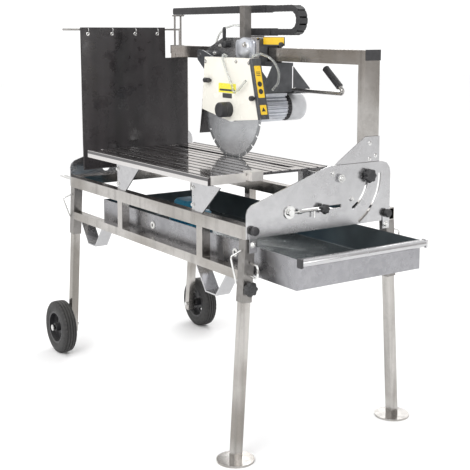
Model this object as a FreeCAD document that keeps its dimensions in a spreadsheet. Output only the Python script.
import FreeCAD, Part
import math
import os
import re
import Sketcher
from FreeCAD import Placement, Rotation, Vector

# ---------------------------------------------------------------------------
# Wheeled bridge saw for stone and tile, millimetres.
# +X runs to the operator's end, +Y to the far side, +Z up.  The origin lies on
# the floor under the middle of the machine.
# ---------------------------------------------------------------------------

SIZES = [
    # how far the middle of the frame lies in front of the middle of the whole machine
    ("centre_shift", 26.0),
    # frame
    ("frame_len", 1210.0), ("frame_wid", 586.0), ("rail_top", 715.0), ("rail_high", 40.0),
    ("post", 34.0), ("tube_wall", 2.9), ("low_rail", 30.0), ("low_bottom", 548.0),
    ("window_one", -191.0), ("window_two", 348.0), ("bearer_thick", 5.0),
    # legs, feet and wheels
    ("leg_play", 0.1), ("leg_splay", 3.5), ("rear_lean", 6.0), ("sleeve_len", 189.0),
    ("leg_grip", 170.0), ("leg_wall", 2.0), ("foot_dia", 115.0), ("foot_thick", 6.0),
    ("wheel_dia", 208.0), ("wheel_wide", 55.0), ("hub_dia", 128.0), ("axle_dia", 16.0),
    ("wheel_gap", 8.0), ("spin_play", 0.05), ("body_gap", 0.3),
    ("skid_top", 176.0), ("skid_base", 62.0), ("skid_drop", 76.0), ("skid_wide", 50.0),
    ("skid_thick", 4.0), ("skid_one", -427.0), ("skid_two", 414.0),
    # end plates
    ("plate_thick", 5.0), ("plate_top", 871.0), ("plate_foot", 678.0), ("pivot_across", 58.0),
    ("pivot_up", 830.0), ("slot_inner", 112.0), ("slot_outer", 164.0), ("slot_wide", 11.0),
    ("slot_sweep", 60.0), ("stop_up", 743.0), ("knob_dia", 46.0), ("knob_thick", 20.0),
    # table
    ("table_len", 842.0), ("table_mid", -16.0), ("table_near", -297.0), ("table_far", 176.0),
    ("table_top_up", 836.0), ("table_thick", 26.0), ("deck_thick", 9.0), ("groove_wide", 9.0),
    ("groove_deep", 3.0), ("groove_pitch", 38.0), ("blade_slot", 28.0), ("support_thick", 4.0),
    # water tray
    ("tray_left", -426.0), ("tray_len", 1206.0), ("tray_wid", 478.0), ("tray_bottom", 554.0),
    ("tray_high", 91.0), ("tray_wall", 2.0), ("lip_dia", 24.0), ("pump_long", 140.0),
    ("pump_wide", 130.0), ("pump_high", 132.0), ("pump_left", -205.0), ("pump_near", -95.0),
    # bridge
    ("upright_gap", 6.0), ("upright_out", "=frame_len/2 - upright_gap"), ("upright_thick", 34.0),
    ("beam_near", 164.0), ("beam_wide", 60.0),
    ("beam_bottom", 1192.0), ("beam_high", 30.0), ("guide_high", 16.0), ("upright_foot", 862.0),
    ("arm_thick", 5.0), ("curtain_at", -560.0), ("curtain_thick", 3.0), ("curtain_near", -261.0),
    ("curtain_far", 216.0), ("curtain_notch", 112.0), ("curtain_top", 1295.0),
    ("curtain_low", 745.0), ("notch_up", 1174.0), ("rod_dia", 8.0), ("rod_reach", 69.0),
    # energy chain
    ("chain_wide", 40.0), ("chain_high", 28.0), ("chain_shell", 2.0), ("chain_play", 1.0),
    ("chain_near", 172.0), ("chain_upper", 1360.0), ("loop_radius", 41.0), ("loop_at", 197.0),
    ("fixed_end", 49.0), ("tail_len", 258.0), ("run_left", -110.0), ("run_right", 85.0),
    # carriage and head
    ("hinge_at", -240.0), ("hinge_up", 1193.0), ("hinge_dia", 16.0), ("car_front", 126.0),
    ("car_plate", 4.0), ("car_left", -262.0), ("car_right", 134.0), ("pad_high", 8.0),
    ("cage_low", 1068.0), ("blade_dia", 350.0), ("blade_thick", 3.0), ("blade_at", 15.0),
    ("blade_up", 1005.0), ("flange_dia", 90.0), ("flange_thick", 6.0), ("shaft_dia", 20.0),
    ("guard_near", 42.0), ("guard_far", 78.0), ("guard_wall", 2.0), ("guard_top", 1188.0),
    ("guard_low", 964.0), ("arm_gap", 2.0), ("motor_dia", 104.0), ("motor_end", 285.0),
    ("fan_end", 357.0), ("fan_gap", 1.0), ("handle_dia", 14.0), ("handle_across", 246.0),
    ("handle_reach", 385.0), ("grip_dia", 25.0), ("hose_dia", 8.0), ("cover_dia", 54.0),
]

doc = FreeCAD.newDocument("tile_cutter")
sheet = doc.addObject("Spreadsheet::Sheet", "sizes")
for row, (alias, value) in enumerate(SIZES, start=1):
    sheet.set("A%d" % row, alias)
    sheet.set("B%d" % row, str(value))
    sheet.setAlias("B%d" % row, alias)
doc.recompute()

ALIASES = set(alias for alias, value in SIZES)
NODES = []
XDIR = Vector(1, 0, 0)
YDIR = Vector(0, 1, 0)
ZDIR = Vector(0, 0, 1)
ALONG_X = Rotation(YDIR, 90)      # turns +Z to +X
ALONG_Y = Rotation(XDIR, -90)     # turns +Z to +Y
UPRIGHT = Rotation()


def num(alias):
    """Value of one named size."""
    return float(sheet.get(alias))


def bound(text):
    """Expression text with every size name pointing at the sheet."""
    def swap(match):
        word = match.group(0)
        return "sizes." + word if word in ALIASES else word
    return re.sub(r"[A-Za-z_]+", swap, str(text))


def bind(obj, prop, text):
    """Tie one property to an expression over the sheet."""
    obj.setExpression(prop, bound(text))


def place(obj, x, y, z, turn=UPRIGHT):
    """Put an object at expression coordinates with a fixed turn."""
    obj.Placement = Placement(Vector(0, 0, 0), turn)
    bind(obj, "Placement.Base.x", x)
    bind(obj, "Placement.Base.y", y)
    bind(obj, "Placement.Base.z", z)
    return obj


def box(x, y, z, dx, dy, dz):
    """Block from its low corner and its three sizes."""
    obj = doc.addObject("Part::Box", "block")
    bind(obj, "Length", dx)
    bind(obj, "Width", dy)
    bind(obj, "Height", dz)
    return place(obj, x, y, z)


def rod(x, y, z, radius, length, turn=UPRIGHT):
    """Cylinder from the centre of its first end."""
    obj = doc.addObject("Part::Cylinder", "round")
    bind(obj, "Radius", radius)
    bind(obj, "Height", length)
    return place(obj, x, y, z, turn)


def fuse(parts):
    """One solid from touching pieces."""
    obj = doc.addObject("Part::MultiFuse", "joined")
    obj.Shapes = parts
    obj.Refine = True
    return obj


def cut(base, tools):
    """Base with every tool taken away."""
    if len(tools) > 1:
        group = doc.addObject("Part::Compound", "tools")
        group.Links = tools
        tool = group
    else:
        tool = tools[0]
    obj = doc.addObject("Part::Cut", "trimmed")
    obj.Base = base
    obj.Tool = tool
    return obj


def group(parts):
    """Separate solids that share one node."""
    obj = doc.addObject("Part::Compound", "set")
    obj.Links = parts
    return obj


def node(obj, name):
    """Name a finished sub-part and move it so that the origin is under the middle of the machine."""
    obj.Label = name
    earlier = [text for path, text in obj.ExpressionEngine if path.endswith("Placement.Base.x")]
    start = "(" + earlier[0] + ")" if earlier else "0"
    obj.setExpression("Placement.Base.x", start + " - sizes.centre_shift")
    NODES.append(obj)
    return obj


def profile(plane, points, depth, x=0, y=0, z=0):
    """Body padded from a closed outline whose corners are all expressions.

    The outline's first number runs along X on the XY and XZ planes and along
    Y on the YZ plane.  The pad grows along +Z, -Y and +X in turn.
    """
    body = doc.addObject("PartDesign::Body", "sheetwork")
    sketch = body.newObject("Sketcher::SketchObject", "outline")
    origin = [o for o in body.Origin.OriginFeatures if o.Role == plane][0]
    sketch.AttachmentSupport = [(origin, "")]
    sketch.MapMode = "FlatFace"
    rough = []
    for first, second in points:
        rough.append(Vector(measure(first), measure(second), 0))
    count = len(rough)
    for i in range(count):
        sketch.addGeometry(Part.LineSegment(rough[i], rough[(i + 1) % count]), False)
    for i in range(count):
        sketch.addConstraint(Sketcher.Constraint("Coincident", i, 2, (i + 1) % count, 1))
    for i in range(count):
        for kind, value, text in (("DistanceX", rough[i].x, points[i][0]),
                                  ("DistanceY", rough[i].y, points[i][1])):
            index = sketch.addConstraint(Sketcher.Constraint(kind, -1, 1, i, 1, value))
            bind(sketch, "Constraints[%d]" % index, text)
    pad = body.newObject("PartDesign::Pad", "pad")
    pad.Profile = sketch
    bind(pad, "Length", depth)
    return place(body, x, y, z)


def measure(text):
    """Number behind a sum of sizes and plain numbers, as sketch start value."""
    total = 0.0
    for sign, term in re.findall(r"([+-]?)\s*([^+\s-]+)", str(text)):
        amount = 1.0
        divide = False
        for factor in re.findall(r"[*/]|[A-Za-z_]+|[0-9.]+", term):
            if factor == "*":
                divide = False
            elif factor == "/":
                divide = True
            else:
                value = num(factor) if factor in ALIASES else float(factor)
                amount = amount / value if divide else amount * value
        total += -amount if sign == "-" else amount
    return total


def tube_x(x, y, z, length, wide, high):
    """Rectangular tube along X."""
    outer = box(x, y, z, length, wide, high)
    inner = box("%s - 1" % x, "%s + tube_wall" % y, "%s + tube_wall" % z,
                "%s + 2" % length, "%s - 2*tube_wall" % wide, "%s - 2*tube_wall" % high)
    return cut(outer, [inner])


def tube_y(x, y, z, long, wide, high):
    """Rectangular tube along Y."""
    outer = box(x, y, z, wide, long, high)
    inner = box("%s + tube_wall" % x, "%s - 1" % y, "%s + tube_wall" % z,
                "%s - 2*tube_wall" % wide, "%s + 2" % long, "%s - 2*tube_wall" % high)
    return cut(outer, [inner])


def tube_z(x, y, z, wide, deep, high):
    """Rectangular tube along Z."""
    outer = box(x, y, z, wide, deep, high)
    inner = box("%s + tube_wall" % x, "%s + tube_wall" % y, "%s - 1" % z,
                "%s - 2*tube_wall" % wide, "%s - 2*tube_wall" % deep, "%s + 2" % high)
    return cut(outer, [inner])


def star_knob(dia, thick, stud, reach, lobes=7):
    """Lobed hand knob about its own Z axis with its stud below."""
    parts = [rod(0, 0, 0, "0.37*%s" % dia, thick), rod(0, 0, "-1*%s" % reach, stud, reach)]
    for i in range(lobes):
        turn = 360.0 / lobes * i
        parts.append(rod("0.36*%s*cos(%s)" % (dia, turn), "0.36*%s*sin(%s)" % (dia, turn), 0,
                         "0.14*%s" % dia, thick))
    return fuse(parts)


def wire(points, radius, bend):
    """Round wire or hose through points: straight runs joined by tangent arcs."""
    edges = []
    sizes = []
    start = points[0]
    for i in range(1, len(points) - 1):
        before = (points[i - 1] - points[i]).normalize()
        after = (points[i + 1] - points[i]).normalize()
        half = 0.5 * before.getAngle(after)
        run = min((points[i] - points[i - 1]).Length, (points[i + 1] - points[i]).Length)
        turn = 0.5 * math.pi - half
        size = min(bend, 0.45 * run / math.tan(turn))
        back = size * math.tan(turn)
        first = points[i] + before * back
        last = points[i] + after * back
        inward = (before + after).normalize()
        centre = points[i] + inward * (size / math.cos(turn))
        middle = centre - inward * size
        edges.append(Part.LineSegment(start, first).toShape())
        edges.append(Part.Arc(first, middle, last).toShape())
        start = last
    edges.append(Part.LineSegment(start, points[-1]).toShape())
    sizes.append(size)
    path = Part.Wire(edges)
    ring = Part.Wire([Part.Circle(points[0], points[1] - points[0], radius).toShape()])
    solid = path.makePipeShell([ring], True, False)
    expected = math.pi * radius ** 2 * path.Length
    bends = ", ".join("%.0f" % size for size in sizes)
    print("round stock, radius %.1f, length %.1f mm, volume over section times length %.4f, bend radii %s" % (
        radius, path.Length, solid.Volume / expected, bends))
    return solid


def shaped(shape, name="formed"):
    """Document object for a shape made directly."""
    obj = doc.addObject("Part::Feature", name)
    obj.Shape = shape
    return obj


def slant_box(ref_x, ref_y, side, wide, drop, length):
    """Square block about a slanted leg axis that starts under the upper rail.

    side 0 leans to -X by rear_lean, side -1 or 1 splays to -Y or +Y by
    leg_splay.  The block begins drop below the rail and runs length further.
    """
    obj = box("0", "0", "0", wide, wide, length)
    end = "(%s + %s)" % (drop, length)
    half = "(%s)/2" % wide
    under = "rail_top - rail_high"
    if side == 0:
        obj.Placement = Placement(Vector(0, 0, 0), Rotation(YDIR, num("rear_lean")))
        bind(obj, "Placement.Rotation.Angle", "rear_lean")
        bind(obj, "Placement.Base.x", "%s - %s*cos(rear_lean) - %s*sin(rear_lean)" % (ref_x, half, end))
        bind(obj, "Placement.Base.y", "%s - %s" % (ref_y, half))
        bind(obj, "Placement.Base.z", "%s + %s*sin(rear_lean) - %s*cos(rear_lean)" % (under, half, end))
        return obj
    obj.Placement = Placement(Vector(0, 0, 0), Rotation(Vector(side, 0, 0), num("leg_splay")))
    bind(obj, "Placement.Rotation.Angle", "leg_splay")
    bind(obj, "Placement.Base.x", "%s - %s" % (ref_x, half))
    bind(obj, "Placement.Base.y", "%s - %s*cos(leg_splay) + %d*%s*sin(leg_splay)" % (ref_y, half, side, end))
    bind(obj, "Placement.Base.z", "%s - %d*%s*sin(leg_splay) - %s*cos(leg_splay)" % (under, side, half, end))
    return obj


REAR_X = "-frame_len/2 + post/2"
FRONT_X = "frame_len/2 - post/2"
SIDE_Y = {-1: "-frame_wid/2 + post/2", 1: "frame_wid/2 - post/2"}
SIDE_NAME = {-1: "near", 1: "far"}


def rail_zone(height="2000"):
    """Space from the underside of the upper rails up."""
    return box("-3000", "-3000", "rail_top - rail_high", "6000", "6000", height)


# ---------------------------------------------------------------------------
# Frame rails, posts and cross members
# ---------------------------------------------------------------------------

def make_frame():
    """Welded rails, window posts and cross members."""
    for side in (-1, 1):
        y = "-frame_wid/2" if side < 0 else "frame_wid/2 - post"
        rail = tube_x("-frame_len/2", y, "rail_top - rail_high", "frame_len", "post", "rail_high")
        node(rail, "upper_rail_" + SIDE_NAME[side])
    for side in (-1, 1):
        y = "-frame_wid/2" if side < 0 else "frame_wid/2 - low_rail"
        low = tube_x("-frame_len/2 - 5", y, "low_bottom", "frame_len - post + 5", "low_rail", "low_rail")
        sleeve = slant_box(REAR_X, SIDE_Y[side], 0, "post", "-20", "sleeve_len + 20")
        outside = box("-frame_len/2 - 60", "-frame_wid/2 - 20", "low_bottom - 10",
                      "60 + post/2 - 12", "frame_wid + 40", "low_rail + 20")
        node(cut(low, [sleeve, outside]), "lower_rail_" + SIDE_NAME[side])
    posts = []
    height = "rail_top - rail_high - low_bottom - low_rail"
    for at in ("window_one", "window_two"):
        for y in ("-frame_wid/2", "frame_wid/2 - low_rail"):
            posts.append(tube_z("%s - post/2" % at, y, "low_bottom + low_rail", "post", "low_rail", height))
    node(group(posts), "window_posts")
    span = "frame_wid - 2*post"
    bars = []
    for x in ("-frame_len/2", "frame_len/2 - post"):
        bars.append(tube_y(x, "-frame_wid/2 + post", "rail_top - 32", span, "post", "32"))
    for at in ("-420", "window_one - 20", "window_two - 20", "frame_len/2 - 100"):
        bars.append(box(at, "-frame_wid/2 + low_rail", "tray_bottom - body_gap - bearer_thick", "40",
                        "frame_wid - 2*low_rail", "bearer_thick"))
    node(group(bars), "cross_members")


# ---------------------------------------------------------------------------
# Legs, feet and wheels
# ---------------------------------------------------------------------------

def make_legs():
    """Corner sleeves, leaning rear legs, sliding front legs and their knobs."""
    inner = "post - 2*tube_wall"
    leg = "post - 2*tube_wall - 2*leg_play"
    sleeves = []
    for side in (-1, 1):
        outer = slant_box(REAR_X, SIDE_Y[side], 0, "post", "-20", "sleeve_len + 20")
        hollow = slant_box(REAR_X, SIDE_Y[side], 0, inner, "-30", "sleeve_len + 60")
        sleeves.append(cut(outer, [hollow, rail_zone()]))
    for side in (-1, 1):
        outer = slant_box(FRONT_X, SIDE_Y[side], side, "post", "-20", "sleeve_len + 20")
        hollow = slant_box(FRONT_X, SIDE_Y[side], side, inner, "-30", "sleeve_len + 60")
        stud = rod("frame_len/2 - 8", SIDE_Y[side] + " + %d*145*sin(leg_splay)" % side,
                   "rail_top - rail_high - 145", "4 + spin_play", "20", ALONG_X)
        sleeves.append(cut(outer, [hollow, rail_zone(), stud]))
    node(group(sleeves), "leg_sleeves")

    axle_drop = "((rail_top - rail_high - wheel_dia/2)/cos(rear_lean))"
    axle_x = REAR_X + " - (rail_top - rail_high - wheel_dia/2)*tan(rear_lean)"
    rear = []
    axles = []
    for side in (-1, 1):
        tube = slant_box(REAR_X, SIDE_Y[side], 0, inner, "2", axle_drop + " + 24")
        bore = rod(axle_x, "-frame_wid", "wheel_dia/2", "axle_dia/2", "2*frame_wid", ALONG_Y)
        hollow = slant_box(REAR_X, SIDE_Y[side], 0, inner + " - 2*leg_wall", "-30", axle_drop + " + 80")
        rear.append(cut(tube, [bore, hollow, rail_zone()]))
        if side < 0:
            start = "-frame_wid/2 - wheel_gap - wheel_wide - 13"
        else:
            start = "frame_wid/2 - post - 4"
        length = "13 + wheel_wide + wheel_gap + post + 4"
        pin = rod(axle_x, start, "wheel_dia/2", "axle_dia/2", length, ALONG_Y)
        out = "-frame_wid/2 - wheel_gap - wheel_wide - 11" if side < 0 else "frame_wid/2 + wheel_gap + wheel_wide + 1"
        nut = rod(axle_x, out, "wheel_dia/2", "12", "10", ALONG_Y)
        collar_y = "-frame_wid/2 - wheel_gap + 0.5" if side < 0 else "frame_wid/2 - tube_wall"
        collar = rod(axle_x, collar_y, "wheel_dia/2", "13", "wheel_gap - 0.5 + tube_wall", ALONG_Y)
        axles.append(fuse([pin, nut, collar]))
    node(group(rear), "rear_legs")
    node(group(axles), "wheel_axles")

    length = "(rail_top - rail_high)/cos(leg_splay) - (sleeve_len - leg_grip) + 4"
    for side in (-1, 1):
        tube = slant_box(FRONT_X, SIDE_Y[side], side, leg, "sleeve_len - leg_grip", length)
        foot_y = SIDE_Y[side] + " + %d*(rail_top - rail_high)*tan(leg_splay)" % side
        pad = rod(FRONT_X, foot_y, 0, "foot_dia/2", "foot_thick")
        ground = box("-3000", "-3000", "-500", "6000", "6000", "500 + foot_thick/2")
        hollow = slant_box(FRONT_X, SIDE_Y[side], side, leg + " - 2*leg_wall", "0", length + " + 80")
        node(fuse([cut(tube, [ground, hollow]), pad]), "front_leg_" + SIDE_NAME[side])
        knob = star_knob("knob_dia", "knob_thick", "4", "7")
        place(knob, "frame_len/2 + 4.3", SIDE_Y[side] + " + %d*145*sin(leg_splay)" % side,
              "rail_top - rail_high - 145", ALONG_X)
        node(knob, "leg_knob_" + SIDE_NAME[side])


def make_wheels():
    """Ribbed tyres on spoked hubs."""
    axle_x = REAR_X + " - (rail_top - rail_high - wheel_dia/2)*tan(rear_lean)"
    for side in (-1, 1):
        start = "-frame_wid/2 - wheel_gap - wheel_wide" if side < 0 else "frame_wid/2 + wheel_gap"
        tyre = rod(0, 0, 0, "wheel_dia/2", "wheel_wide")
        cuts = [rod(0, 0, -1, "hub_dia/2", "wheel_wide + 2")]
        for share in (0.2, 0.4, 0.6, 0.8):
            ring = cut(rod(0, 0, "%s*wheel_wide - 2" % share, "wheel_dia/2 + 5", "4"),
                       [rod(0, 0, "%s*wheel_wide - 3" % share, "wheel_dia/2 - 4", "6")])
            cuts.append(ring)
        node(place(cut(tyre, cuts), axle_x, start, "wheel_dia/2", ALONG_Y), "tyre_" + SIDE_NAME[side])
        rim = cut(rod(0, 0, 2, "hub_dia/2", "wheel_wide - 4"), [rod(0, 0, 1, "hub_dia/2 - 7", "wheel_wide")])
        web = rod(0, 0, "wheel_wide/2 - 5", "hub_dia/2 - 6.5", "10")
        boss = rod(0, 0, 0, "axle_dia/2 + 8", "wheel_wide")
        holes = [rod(0, 0, -1, "axle_dia/2 + spin_play", "wheel_wide + 2")]
        for i in range(5):
            holes.append(rod("0.3*hub_dia*cos(%d)" % (72 * i), "0.3*hub_dia*sin(%d)" % (72 * i), -1,
                             "0.1*hub_dia", "wheel_wide + 2"))
        node(place(cut(fuse([rim, web, boss]), holes), axle_x, start, "wheel_dia/2", ALONG_Y),
             "wheel_hub_" + SIDE_NAME[side])


def make_skids():
    """Bent strip skids under the lower rails, which carry the machine in transport."""
    skids = []
    inner = "skid_base/2 - skid_thick*0.6"
    for at in ("skid_one", "skid_two"):
        outline = [("-skid_top/2", "0"), ("-skid_base/2", "-skid_drop"), ("skid_base/2", "-skid_drop"),
                   ("skid_top/2", "0"), ("skid_top/2 - 1.1*skid_thick", "0"),
                   (inner, "-skid_drop + skid_thick"), ("-" + inner.replace(" - ", " + "), "-skid_drop + skid_thick"),
                   ("-skid_top/2 + 1.1*skid_thick", "0")]
        for y in ("-frame_wid/2 + skid_wide", "frame_wid/2"):
            skids.append(profile("XZ_Plane", outline, "skid_wide", at, y, "low_bottom"))
    node(group(skids), "transport_skids")


# ---------------------------------------------------------------------------
# End plates and what is bolted to them
# ---------------------------------------------------------------------------

def arc_slot(radius, start, sweep, wide):
    """Tool for a curved slot about the tilt pivot, in the YZ plane."""
    outer = rod(0, 0, -40, "%s + %s/2" % (radius, wide), "80")
    bind(outer, "Angle", sweep)
    core = rod(0, 0, -50, "%s - %s/2" % (radius, wide), "100")
    ring = cut(outer, [core])
    ends = [rod(radius, 0, -40, "%s/2" % wide, "80"),
            rod("%s*cos(%s)" % (radius, sweep), "%s*sin(%s)" % (radius, sweep), -40, "%s/2" % wide, "80")]
    tool = fuse([ring] + ends)
    # local X to +Y and local Y to -Z, so the slot runs down from the level of the pivot
    tool.Placement = Placement(Vector(0, 0, 0), Rotation(YDIR, -ZDIR, -XDIR))
    bind(tool, "Placement.Base.y", "pivot_across")
    bind(tool, "Placement.Base.z", "pivot_up")
    return tool


def make_end_plates():
    """Thick shaped plates that carry the tilting bridge."""
    outline = [("-frame_wid/2", "plate_foot"), ("-frame_wid/2", "752"), ("-frame_wid/2 + 5", "766"),
               ("-frame_wid/2 + 18", "777"), ("0", "plate_top - 4"), ("22", "plate_top"),
               ("frame_wid/2 - 62", "plate_top"), ("frame_wid/2 - 42", "plate_top - 6"),
               ("frame_wid/2 - 30", "plate_top - 20"), ("frame_wid/2 - 25", "plate_top - 38"),
               ("frame_wid/2 - 25", "plate_foot")]
    for name, x in (("end_plate_front", "frame_len/2"), ("end_plate_rear", "-frame_len/2 - plate_thick")):
        plate = profile("YZ_Plane", outline, "plate_thick", x)
        tools = [rod("-2000", "pivot_across", "pivot_up", "8", "4000", ALONG_X)]
        shift = box("-2000", "-120", "stop_up - 5.5", "4000", "185", "11")
        tools.append(shift)
        tools.append(rod("-2000", "-138", "stop_up", "17", "4000", ALONG_X))
        if name == "end_plate_front":
            for radius in ("slot_inner", "slot_outer"):
                slot = arc_slot(radius, 0, "slot_sweep", "slot_wide")
                bind(slot, "Placement.Base.x", "frame_len/2")
                tools.append(slot)
        node(cut(plate, tools), name)

    pins = []
    for x in ("frame_len/2 - 12", "-frame_len/2 - plate_thick - 9"):
        shank = rod(x, "pivot_across", "pivot_up", "8", "plate_thick + 21", ALONG_X)
        head_x = "frame_len/2 + plate_thick + 1" if x.startswith("frame") else "-frame_len/2 - plate_thick - 9"
        head = rod(head_x, "pivot_across", "pivot_up", "13", "8", ALONG_X)
        pins.append(fuse([shank, head]))
    for y, z in (("29", "847"), ("107", "760")):
        pins.append(rod("frame_len/2 + plate_thick", y, z, "6", "5", ALONG_X))
    for x in ("frame_len/2 + plate_thick", "-frame_len/2 - plate_thick - 3"):
        pins.append(box(x, "-frame_wid/2 + 8", "plate_foot - 42", "3", "28", "58"))
        pins.append(box(x, "frame_wid/2 - 57", "plate_foot - 26", "3", "28", "42"))
    node(group(pins), "plate_fittings")
    knobs = []
    for y in ("-frame_wid/2 + 22", "frame_wid/2 - 43"):
        grip = rod("frame_len/2 + plate_thick + 5", y, "plate_foot + 24", "14", "14", ALONG_X)
        stem = rod("frame_len/2 + plate_thick", y, "plate_foot + 24", "6", "6", ALONG_X)
        knobs.append(fuse([grip, stem]))
    node(group(knobs), "plate_knobs")

    bar = rod("frame_len/2 + plate_thick + 10", "-131", "stop_up", "4", "93", ALONG_Y)
    disc = rod("frame_len/2 + plate_thick", "-138", "stop_up", "20", "5", ALONG_X)
    nut = rod("frame_len/2 + plate_thick + 10", "-112", "stop_up", "7", "12", ALONG_Y)
    peg = rod("frame_len/2 + plate_thick + 10", "-50", "stop_up - 24", "3", "22")
    plug = rod("frame_len/2 - 6", "-138", "stop_up", "10", "plate_thick + 20", ALONG_X)
    node(fuse([bar, disc, nut, peg, plug]), "stop_rod")
    knob = star_knob("0.7*knob_dia", "0.8*knob_thick", "3.5", "plate_thick + 13")
    place(knob, "frame_len/2 + plate_thick + 9", "-14", "stop_up", ALONG_X)
    node(knob, "stop_knob")


def make_wires():
    """Wire bails and carrying rods at the corners."""
    parts = []
    half = 0.5 * num("frame_len")
    side = 0.5 * num("frame_wid")
    top = num("rail_top") - num("rail_high")
    splay = math.tan(math.radians(num("leg_splay")))
    for s in (-1, 1):
        y = s * side
        parts.append(wire([Vector(half - 17, y + s * 4.6, top - 32), Vector(half - 17, y + s * 42, top - 46),
                           Vector(half - 17, y + s * (12.6 + 150 * splay), top - 130)], 3.0, 10))
        parts.append(wire([Vector(half + 3.2, y + s * (-17 + 25 * splay), top - 70),
                           Vector(half + 42, y + s * (-17 + 40 * splay), top - 70),
                           Vector(half + 46, y + s * (-17 + 90 * splay), top - 110),
                           Vector(half + 3.2, y + s * (-17 + 110 * splay), top - 104)], 3.5, 14))
        for across in (-12, -30):
            parts.append(wire([Vector(-half - 5.2, y + across * s, top + 25), Vector(-half - 60, y + across * s, top + 25),
                               Vector(-half - 119, y + across * s, top + 27)], 4.0, 60))
        parts.append(wire([Vector(-half + 6, y + s * 3.2, top - 30), Vector(-half - 2, y + s * 34, top - 44),
                           Vector(-half - 8, y + s * 3.2, top - 120)], 3.0, 10))
    node(shaped(Part.makeCompound(parts)), "wire_bails")


# ---------------------------------------------------------------------------
# Table
# ---------------------------------------------------------------------------

def make_table():
    """Grooved table, its rubber strips, its brackets and the cross fence."""
    left = "table_mid - table_len/2"
    wide = "(table_far - table_near)"
    deck = box(left, "table_near", "table_top_up - table_thick", "table_len", wide, "table_thick")
    tools = [box(left + " - 5", "table_near + 4", "table_top_up - table_thick - 1", "table_len + 10",
                 wide + " - 8", "table_thick - deck_thick + 1")]
    slot_low = "table_top_up - deck_thick - 2"
    tools.append(box(left + " + 40", "pivot_across - blade_slot/2", slot_low, "table_len - 80", "blade_slot",
                     "deck_thick + 4"))
    strips = []
    for i in range(-9, 4):
        if i in (0,):
            continue
        y = "pivot_across + %d*groove_pitch - groove_wide/2" % i
        z = "table_top_up - groove_deep"
        tools.append(box(left + " - 5", y, z, "table_len + 10", "groove_wide", "groove_deep + 1"))
        if i % 2:
            strips.append(box(left, y, z, "table_len", "groove_wide", "groove_deep + 0.8"))
    node(cut(deck, tools), "table_top")
    for x in (left + " - 3", left + " + table_len"):
        for y in ("table_near", "table_far - 20"):
            strips.append(box(x, y, "table_top_up - table_thick", "3", "20", "table_thick - groove_deep - 1"))
    node(group(strips), "table_rubber")

    low = "-(table_top_up - table_thick - rail_top)"
    near = [("-86", "0"), ("-62", low), ("-22", low), ("84", "0")]
    brackets = []
    for at in ("-140", "394 - 20"):
        for y in ("-frame_wid/2 + 12", "table_far - 8"):
            web = profile("XZ_Plane", near, "support_thick", at, y, "table_top_up - table_thick")
            edge = y + " - 24" if y.startswith("table") else y
            flange = box("%s - 88" % at, edge, "rail_top", "26", "24", "table_top_up - table_thick - rail_top")
            parts = [web, flange]
            if y.startswith("table"):
                parts.append(box("%s - 88" % at, "table_far - 32", "rail_top", "70",
                                 "frame_wid/2 - table_far + 30", "support_thick"))
            brackets.append(fuse(parts))
    node(group(brackets), "table_brackets")

    right = "table_mid + table_len/2"
    bar = box(right + " + 3.3", "table_near + 8", "table_top_up - 24", "6", "128", "28")
    clamp = box(right + " + 3.3", "table_near + 142", "table_top_up - 20", "30", "44", "30")
    link = box(right + " + 3.3", "table_near + 130", "table_top_up - 18", "6", "16", "14")
    ledge = box(right + " - 26", "table_near + 150", "table_top_up + 1", "34", "24", "6")
    node(fuse([bar, clamp, link, ledge]), "table_fence")


# ---------------------------------------------------------------------------
# Water tray
# ---------------------------------------------------------------------------

def make_tray():
    """Sliding water tray with rolled lip, drain plugs and pump."""
    outer = box("tray_left", "-tray_wid/2", "tray_bottom", "tray_len", "tray_wid", "tray_high")
    inner = box("tray_left + tray_wall", "-tray_wid/2 + tray_wall", "tray_bottom + tray_wall",
                "tray_len - 2*tray_wall", "tray_wid - 2*tray_wall", "tray_high + 5")
    drains = []
    plugs = []
    for x in ("tray_left + 382", "tray_left + 898"):
        drains.append(rod(x, "-tray_wid/2 - 5", "tray_bottom + tray_high/2 + 8", "9", "20", ALONG_Y))
        ring = cut(rod(x, "-tray_wid/2 - 4", "tray_bottom + tray_high/2 + 8", "13", "4", ALONG_Y),
                   [rod(x, "-tray_wid/2 - 5", "tray_bottom + tray_high/2 + 8", "6", "6", ALONG_Y)])
        stem = rod(x, "-tray_wid/2 - 3", "tray_bottom + tray_high/2 + 8", "9", "tray_wall + 3", ALONG_Y)
        plugs.append(fuse([ring, stem]))
    node(cut(cut(outer, [inner]), drains), "tray_box")
    right = "tray_left + tray_len"
    tube = rod(right + " + lip_dia/2", "-tray_wid/2 + 3", "tray_bottom + tray_high - lip_dia/2 + 2", "lip_dia/2",
               "tray_wid + 8", ALONG_Y)
    cap = box(right, "-tray_wid/2 - 1", "tray_bottom + tray_high - lip_dia", "lip_dia", "8", "lip_dia + 4")
    node(group([fuse([tube, cap])] + plugs), "tray_fittings")
    foot = box("pump_left", "pump_near", "tray_bottom + tray_wall", "pump_long", "pump_wide", "0.55*pump_high")
    crown = box("pump_left + 12", "pump_near + 14", "tray_bottom + tray_wall + 0.5*pump_high", "pump_long - 24",
                "pump_wide - 28", "0.35*pump_high")
    spout = rod("pump_left + 0.7*pump_long", "pump_near + pump_wide/2", "tray_bottom + tray_wall + 0.8*pump_high",
                "11", "0.2*pump_high")
    node(fuse([foot, crown, spout]), "pump")
    x = num("pump_left") + 0.7 * num("pump_long")
    y = num("pump_near") + 0.5 * num("pump_wide")
    z = num("tray_bottom") + num("tray_wall") + num("pump_high")
    base = num("tray_bottom") + num("tray_wall") + 6
    route = [Vector(x, y, z), Vector(x, y, z + 20), Vector(x - 24, y + 16, z + 28), Vector(x - 58, y + 30, z + 14),
             Vector(x - 84, y + 74, z - 22), Vector(x - 96, y + 94, z - 70), Vector(x - 88, y + 106, base + 8)]
    node(shaped(wire(route, 5.0, 40)), "pump_hose")


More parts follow.
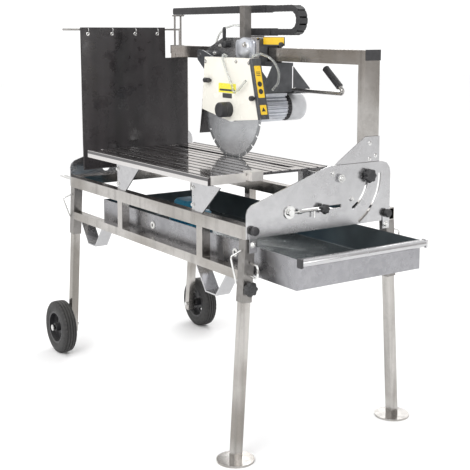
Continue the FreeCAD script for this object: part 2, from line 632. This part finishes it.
# ---------------------------------------------------------------------------
# Tilting bridge
# ---------------------------------------------------------------------------

def make_bridge():
    """Beam, guide rail, uprights, tilt arms, splash curtain and chain post."""
    beam = tube_x("-upright_out", "beam_near", "beam_bottom", "2*upright_out", "beam_wide", "beam_high")
    run = "2*(upright_out - upright_thick)"
    guide = tube_x("-upright_out + upright_thick", "beam_near + 2", "beam_bottom - guide_high", run, "beam_wide - 4",
                   "guide_high")
    node(group([beam, guide]), "bridge_beam")
    uprights = []
    for x in ("-upright_out", "upright_out - upright_thick"):
        uprights.append(tube_z(x, "beam_near", "upright_foot", "upright_thick", "beam_wide",
                               "beam_bottom - upright_foot"))
    node(group(uprights), "bridge_uprights")
    caps = []
    for x in ("-upright_out - 3", "upright_out"):
        caps.append(box(x, "beam_near - 1", "beam_bottom - 2", "3", "beam_wide + 2", "beam_high + 4"))
    node(group(caps), "beam_caps")
    outline = [("28", "800"), ("28", "858"), ("62", "884"), ("beam_near + 2", "952"), ("beam_near + beam_wide", "952"),
               ("beam_near + beam_wide", "850"), ("192", "806"), ("150", "792")]
    arms = []
    for x in ("-upright_out - arm_thick", "upright_out"):
        arm = profile("YZ_Plane", outline, "arm_thick", x)
        tools = [rod("-2000", "pivot_across", "pivot_up", "8 + spin_play", "4000", ALONG_X)]
        if x == "upright_out":
            tools.append(rod("-2000", "pivot_across + slot_inner", "pivot_up", "4 + spin_play", "4000", ALONG_X))
        arms.append(cut(arm, tools))
    node(group(arms), "tilt_arms")
    knob = star_knob("knob_dia", "knob_thick", "4", "16")
    place(knob, "frame_len/2 + plate_thick + 3", "pivot_across + slot_inner", "pivot_up", ALONG_X)
    node(knob, "tilt_knob")

    outline = [("curtain_near", "curtain_low"), ("curtain_near", "curtain_top"), ("curtain_notch", "curtain_top"),
               ("curtain_notch", "notch_up"), ("curtain_far", "notch_up"), ("curtain_far", "curtain_low")]
    node(profile("YZ_Plane", outline, "curtain_thick", "curtain_at"), "curtain")
    rail = rod("curtain_at - body_gap - rod_dia/2", "curtain_near - rod_reach", "curtain_top - 8", "rod_dia/2",
               "beam_near + 24 - curtain_near + rod_reach", ALONG_Y)
    leg = rod("curtain_at - body_gap - rod_dia/2", "beam_near + 20", "beam_bottom + beam_high", "rod_dia/2 - 0.6",
              "curtain_top - 8 - beam_bottom - beam_high")
    node(fuse([rail, leg]), "curtain_rod")
    parts = []
    for y in ("chain_near + 6", "chain_near + chain_wide - 6"):
        parts.append(rod("-upright_out + 8", y, "beam_bottom + beam_high", "4",
                         "chain_upper - chain_high/2 - 6 - beam_bottom - beam_high"))
    parts.append(box("-upright_out - 2", "chain_near", "chain_upper - chain_high/2 - 6", "30", "chain_wide", "6"))
    node(fuse(parts), "chain_post")
    node(hollow_run("-upright_out + 4", "fixed_end", "chain_upper"), "chain_fixed_run")


def hollow_run(start, end, level):
    """Straight length of chain as an open channel that the moving length slips into."""
    outer = box(start, "chain_near", "%s - chain_high/2" % level, "%s - (%s)" % (end, start), "chain_wide",
                "chain_high")
    inner = box("%s - 5" % start, "chain_near + chain_shell", "%s - chain_high/2 + chain_shell" % level,
                "%s - (%s) + 10" % (end, start), "chain_wide - 2*chain_shell", "chain_high - 2*chain_shell")
    return cut(outer, [inner])


def make_chain_loop():
    """Moving bend of the energy chain with the two lengths that slip into the fixed runs."""
    inset = "(chain_shell + chain_play)"
    ring = rod(0, 0, 0, "loop_radius + chain_high/2", "chain_wide")
    core = rod(0, 0, -1, "loop_radius - chain_high/2", "chain_wide + 2")
    half = box("-200", "-200", "-1", "200", "400", "100")
    bend = cut(ring, [core, half])
    bend.Placement = Placement(Vector(0, 0, 0), Rotation(XDIR, 90))
    bind(bend, "Placement.Base.x", "loop_at")
    bind(bend, "Placement.Base.y", "chain_near + chain_wide")
    bind(bend, "Placement.Base.z", "chain_upper - loop_radius")
    tails = []
    for level in ("chain_upper", "(chain_upper - 2*loop_radius)"):
        tails.append(box("loop_at - tail_len", "chain_near + " + inset,
                         "%s - chain_high/2 + %s" % (level, inset), "tail_len + 2",
                         "chain_wide - 2*" + inset, "chain_high - 2*" + inset))
    node(fuse([bend] + tails), "chain_loop")


# ---------------------------------------------------------------------------
# Carriage on the beam
# ---------------------------------------------------------------------------

def make_carriage():
    """Saddle over the beam with its slide pads, swing cage and chain bracket."""
    back = "beam_near + beam_wide + 8"
    front = [("car_left", "1172"), ("car_left", "1214"), ("-150", "1258"), ("60", "1258"), ("78", "1240"),
             ("78", "1160"), ("-100", "1160"), ("-100", "1172")]
    plate = profile("XZ_Plane", front, "car_plate", 0, "car_front + car_plate")
    hood = box("-140", "car_front", "1254", "208", back + " - car_front + 4", "4")
    rear = box("-140", back, "beam_bottom - guide_high - 6", "208", "4", "1258 - beam_bottom + guide_high + 6")
    wall = box("74", "car_front", "beam_bottom + beam_high + 10", "4", back + " - car_front + 4", "18")
    pin = rod("hinge_at", "guard_far + arm_gap - 4", "hinge_up", "hinge_dia/2", "car_front - guard_far - arm_gap + 4",
              ALONG_Y)
    node(fuse([plate, hood, rear, wall, pin]), "carriage")

    pads = []
    for x in ("-130", "20"):
        pads.append(box(x, "beam_near + 6", "beam_bottom + beam_high + body_gap", "44", "beam_wide - 12",
                        "1254 - beam_bottom - beam_high - body_gap"))
        pads.append(box(x, "car_front + car_plate", "beam_bottom + 6", "44",
                        "beam_near - body_gap - car_front - car_plate", "beam_high - 12"))
        pads.append(box(x, "beam_near + beam_wide + body_gap", "beam_bottom + 6", "44", "8 - body_gap",
                        "beam_high - 12"))
    node(group(pads), "slide_pads")

    apex = "beam_bottom - guide_high - 6"
    cage = [("beam_near - 14", apex), ("beam_near + beam_wide + 12", apex), ("312", "cage_low + 10"),
            ("312", "cage_low"), ("104", "cage_low"), ("104", "cage_low + 10")]
    sides = []
    for x in ("-104", "car_right - 4"):
        side = profile("YZ_Plane", cage, "4", x)
        if x != "-104":
            side = cut(side, [box("car_right - 20", back, "cage_low - 10", "40", "200", "200")])
        sides.append(side)
    sides.append(box("-104", back, "beam_bottom - guide_high - 18", "car_right + 104", "4", "12"))
    sides.append(box("-104", "beam_near - 14", "beam_bottom - guide_high - 18", "car_right + 104", "4", "12"))
    sides.append(box("-104", "beam_near - 14", apex, "car_right + 104", "10", "3"))
    link_near = box("-90", "car_front + car_plate", apex + " - 6", "160", "beam_near - 14 - car_front - car_plate + 2", "6")
    node(fuse(sides + [link_near]), "swing_cage")

    post = tube_z("-36", "car_front - 4", "1258", "30", "30", "chain_upper + chain_high/2 - 1258 - 2")
    tie = box("-30", "car_front + 24", "chain_upper - 2*loop_radius - chain_high/2 - 5", "24",
              "chain_near + chain_wide - car_front - 26", "5")
    node(fuse([post, tie]), "chain_bracket")
    node(hollow_run("run_left", "run_right", "(chain_upper - 2*loop_radius)"), "chain_carriage_run")

    lever_hub = rod("-115", "car_front - 26", "1234", "14", "25", ALONG_Y)
    lever_arm = box("-122", "car_front - 24", "1240", "13", "12", "56")
    node(fuse([lever_hub, lever_arm]), "clamp_lever")
    hose = [Vector(-220, 137, 1206), Vector(-214, 137, 1242), Vector(-192, 137, 1272), Vector(-150, 137, 1293),
            Vector(-96, 137, 1302), Vector(-36.5, 137, 1300)]
    node(shaped(wire(hose, 0.5 * num("hose_dia"), 45)), "feed_hose")


# ---------------------------------------------------------------------------
# Swinging saw head
# ---------------------------------------------------------------------------

def make_head():
    """Arm, guard, motor, handle and hoses that swing on the carriage."""
    face = "guard_far + arm_gap"
    outline = [("hinge_at - 18", "1175"), ("hinge_at - 18", "1211"), ("hinge_at + 14", "1211"), ("-60", "1160"),
               ("92", "1112"), ("92", "950"), ("-70", "950"), ("-104", "1060")]
    plate = profile("XZ_Plane", outline, "6", 0, face + " + 6")
    bush = rod("hinge_at", face, "hinge_up", "hinge_dia/2 + 6", "car_front - guard_far - arm_gap - 1", ALONG_Y)
    shelf = box("blade_at - 75", face, "blade_up + motor_dia/2 + 3", "150", "232", "6")
    web = box("blade_at - 75", face, "blade_up + motor_dia/2 + 3", "6", "150", "30")
    floor_up = "blade_up + motor_dia/2 + 3"
    edge = "beam_near + beam_wide + 15"
    tail = box("blade_at + 70", edge, floor_up, "car_right - blade_at - 70", "312 - beam_near - beam_wide - 15", "6")
    wing = profile("YZ_Plane", [(edge, "1060"), ("312", "1060"), ("312", "1078"), (edge, "1156")], "4", "car_right - 4")
    holes = [rod("hinge_at", "0", "hinge_up", "hinge_dia/2 + spin_play", "400", ALONG_Y),
             rod("blade_at", "0", "blade_up", "shaft_dia/2 + 3", "100", ALONG_Y),
             rod("car_right - 20", "handle_across", "blade_up + motor_dia/2 + 9 + handle_dia/2", "handle_dia/2 + 1.5", "40",
                 ALONG_X)]
    node(cut(fuse([plate, bush, shelf, web, tail, wing]), holes), "head_arm")

    outline = [("-166", "996"), ("-146", "guard_top"), ("152", "guard_top"), ("207.2", "guard_low + 18"),
               ("12", "guard_low")]
    shell = profile("XZ_Plane", outline, "guard_far - guard_near", 0, "guard_far")
    hollow = [("-190", "900"), ("-190", "guard_top - 2"), ("150", "guard_top - 2"), ("209.6", "968"), ("209.6", "900")]
    inner = profile("XZ_Plane", hollow, "guard_far - guard_near - 2*guard_wall", 0, "guard_far - guard_wall")
    shaft = rod("blade_at", "guard_far - guard_wall - 10", "blade_up", "shaft_dia/2 + 8", "30", ALONG_Y)
    nose = rod("blade_at", "guard_near - 10", "blade_up", "20", "20", ALONG_Y)
    spacers = []
    for x, z in ((0, 1105), (-45, 1060), (75, 1060)):
        spacers.append(rod(x, "guard_far", z, "8", "arm_gap", ALONG_Y))
    node(fuse([cut(shell, [inner, shaft, nose])] + spacers), "blade_guard")

    cover = cut(rod("blade_at", "-4", "blade_up", "cover_dia/2", "guard_near + 4", ALONG_Y),
                [rod("blade_at", "4", "blade_up", "20", "60", ALONG_Y)])
    fittings = [cover]
    for x, z in ((-122, 1104), (-104, 1104), (172, 1053)):
        fittings.append(fuse([rod(x, "guard_near - 20", z, "9", "15", ALONG_Y),
                              rod(x, "guard_near - 6", z, "4", "6", ALONG_Y)]))
    flap = profile("YZ_Plane", [("guard_near - 6", "905"), ("guard_far + 6", "905"), ("guard_far - 6", "1033"),
                                ("guard_near + 6", "1033")], "4", "-172")
    strap = box("-168", "guard_near + guard_wall", "1000", "6.5", "guard_far - guard_near - 2*guard_wall", "34")
    fittings.append(fuse([flap, strap]))
    node(group(fittings), "guard_fittings")

    body = rod("blade_at", face + " + 6", "blade_up", "motor_dia/2 - 7", "motor_end - guard_far - arm_gap - 6", ALONG_Y)
    fins = []
    for i in range(20):
        turn = 18 * i + 9
        fin = box("0", "-1.5", "motor_dia/2 - 9", "motor_end - guard_far - 70", "3", "9")
        spin = Rotation(YDIR, turn).multiply(Rotation(ZDIR, 90))
        fin.Placement = Placement(Vector(0, 0, 0), spin)
        radius = "(motor_dia/2 - 9)"
        bind(fin, "Placement.Base.x", "blade_at + %s*sin(%d) + 1.5*cos(%d)" % (radius, turn, turn))
        bind(fin, "Placement.Base.y", "guard_far + 55")
        bind(fin, "Placement.Base.z", "blade_up + %s*cos(%d) - 1.5*sin(%d)" % (radius, turn, turn))
        bind(fin, "Height", "9")
        fins.append(fin)
    flange = rod("blade_at", face + " + 6", "blade_up", "motor_dia/2", "16", ALONG_Y)
    bore = rod("blade_at", "0", "blade_up", "shaft_dia/2 + spin_play", "guard_far + 60", ALONG_Y)
    foot = box("blade_at - 45", "guard_far + 70", "blade_up + motor_dia/2 - 10", "90", "120", "13")
    node(cut(fuse([body, flange, foot] + fins), [bore]), "motor")
    fan = rod("blade_at", "motor_end + fan_gap", "blade_up", "motor_dia/2", "fan_end - motor_end - fan_gap", ALONG_Y)
    seat = rod("blade_at", "motor_end", "blade_up", "motor_dia/2 - 14", "6", ALONG_Y)
    node(fuse([fan, seat]), "fan_cover")

    level = num("blade_up") + 0.5 * num("motor_dia") + 9 + 0.5 * num("handle_dia")
    across = num("handle_across")
    reach = num("handle_reach")
    bar = [Vector(20, across, level), Vector(reach + 23, across, level), Vector(reach - 18, across, level + 32)]
    node(shaped(wire(bar, 0.5 * num("handle_dia"), 12)), "handle_bar")
    grip_start = bar[-1]
    lean = (bar[-1] - bar[-2]).normalize()
    grip = Part.makeCylinder(0.5 * num("grip_dia"), 98, grip_start - lean * 14, lean)
    core = Part.makeCylinder(0.5 * num("handle_dia") + 0.02, 14, grip_start - lean * 14, lean)
    node(shaped(grip.cut(core)), "handle_grip")

    hose = 0.5 * num("hose_dia")
    near = num("guard_near")
    parts = [wire([Vector(-20, near + 14, 1192.5), Vector(-20, near - 2, 1200), Vector(-4, near - 16, 1184),
                   Vector(30, near - 20, 1140), Vector(56, near - 16, 1092)], hose, 40),
             wire([Vector(56, near - 16, 1090), Vector(66, near - 16, 1066), Vector(98, near - 16, 1080),
                   Vector(140, near - 14, 1112)], 4.0, 10),
             wire([Vector(130, near + 20, 1193), Vector(152, near + 32, 1206), Vector(200, near + 52, 1190),
                   Vector(214, near + 74, 1146), Vector(184, near + 92, 1102), Vector(146, near + 96, 1078)], hose, 60)]
    node(shaped(Part.makeCompound(parts)), "water_hoses")


def make_blade():
    """Segmented diamond blade with its flanges, nut and shaft."""
    disc = rod(0, 0, "-blade_thick/2", "blade_dia/2", "blade_thick")
    tools = [rod(0, 0, -10, "shaft_dia/2", "20")]
    for i in range(24):
        gap = box("blade_dia/2 - 12", "-3.5", "-5", "20", "7", "10")
        gap.Placement = Placement(Vector(0, 0, 0), Rotation(ZDIR, 15 * i))
        bind(gap, "Placement.Base.x", "(blade_dia/2 - 12)*cos(%d) + 3.5*sin(%d)" % (15 * i, 15 * i))
        bind(gap, "Placement.Base.y", "(blade_dia/2 - 12)*sin(%d) - 3.5*cos(%d)" % (15 * i, 15 * i))
        tools.append(gap)
    node(place(cut(disc, tools), "blade_at", "pivot_across", "blade_up", ALONG_Y), "blade")
    parts = []
    shaft_start = "pivot_across - blade_thick/2 - flange_thick - 14"
    parts.append(rod("blade_at", shaft_start, "blade_up", "shaft_dia/2",
                     "guard_far + 50 - pivot_across + blade_thick/2 + flange_thick + 14", ALONG_Y))
    nut = rod("blade_at", "pivot_across - blade_thick/2 - flange_thick - 12", "blade_up", "15", "12", ALONG_Y)
    first = rod("blade_at", "pivot_across - blade_thick/2 - flange_thick", "blade_up", "flange_dia/2",
                "flange_thick", ALONG_Y)
    second = rod("blade_at", "pivot_across + blade_thick/2", "blade_up", "flange_dia/2", "flange_thick", ALONG_Y)
    node(fuse(parts + [nut, first, second]), "blade_arbor")


make_frame()
make_legs()
make_wheels()
make_skids()
make_end_plates()
make_wires()
make_table()
make_tray()
make_bridge()
make_chain_loop()
make_carriage()
make_head()
make_blade()
doc.recompute()

# ---------------------------------------------------------------------------
# Nothing is written unless every object is sound
# ---------------------------------------------------------------------------

faults = []
for obj in doc.Objects:
    if "Invalid" in obj.State or "Error" in obj.State:
        faults.append("%s %s %s" % (obj.Name, obj.Label, obj.State))
for obj in NODES:
    if obj.Shape.isNull() or not obj.Shape.isValid() or obj.Shape.Volume <= 0:
        faults.append("bad shape " + obj.Label)
if faults:
    raise RuntimeError("; ".join(faults))
if len(NODES) > 60 or len(set(obj.Label for obj in NODES)) != len(NODES):
    raise RuntimeError("node names: %d" % len(NODES))

os.makedirs("parts", exist_ok=True)
for obj in NODES:
    obj.Shape.exportStep("parts/" + obj.Label + ".step")
    bounds = obj.Shape.BoundBox
    print("%-20s %2d solids %9.0f mm3  X %7.1f %7.1f  Y %7.1f %7.1f  Z %7.1f %7.1f" % (
        obj.Label, len(obj.Shape.Solids), obj.Shape.Volume, bounds.XMin, bounds.XMax, bounds.YMin, bounds.YMax,
        bounds.ZMin, bounds.ZMax))
print(len(NODES), "nodes")
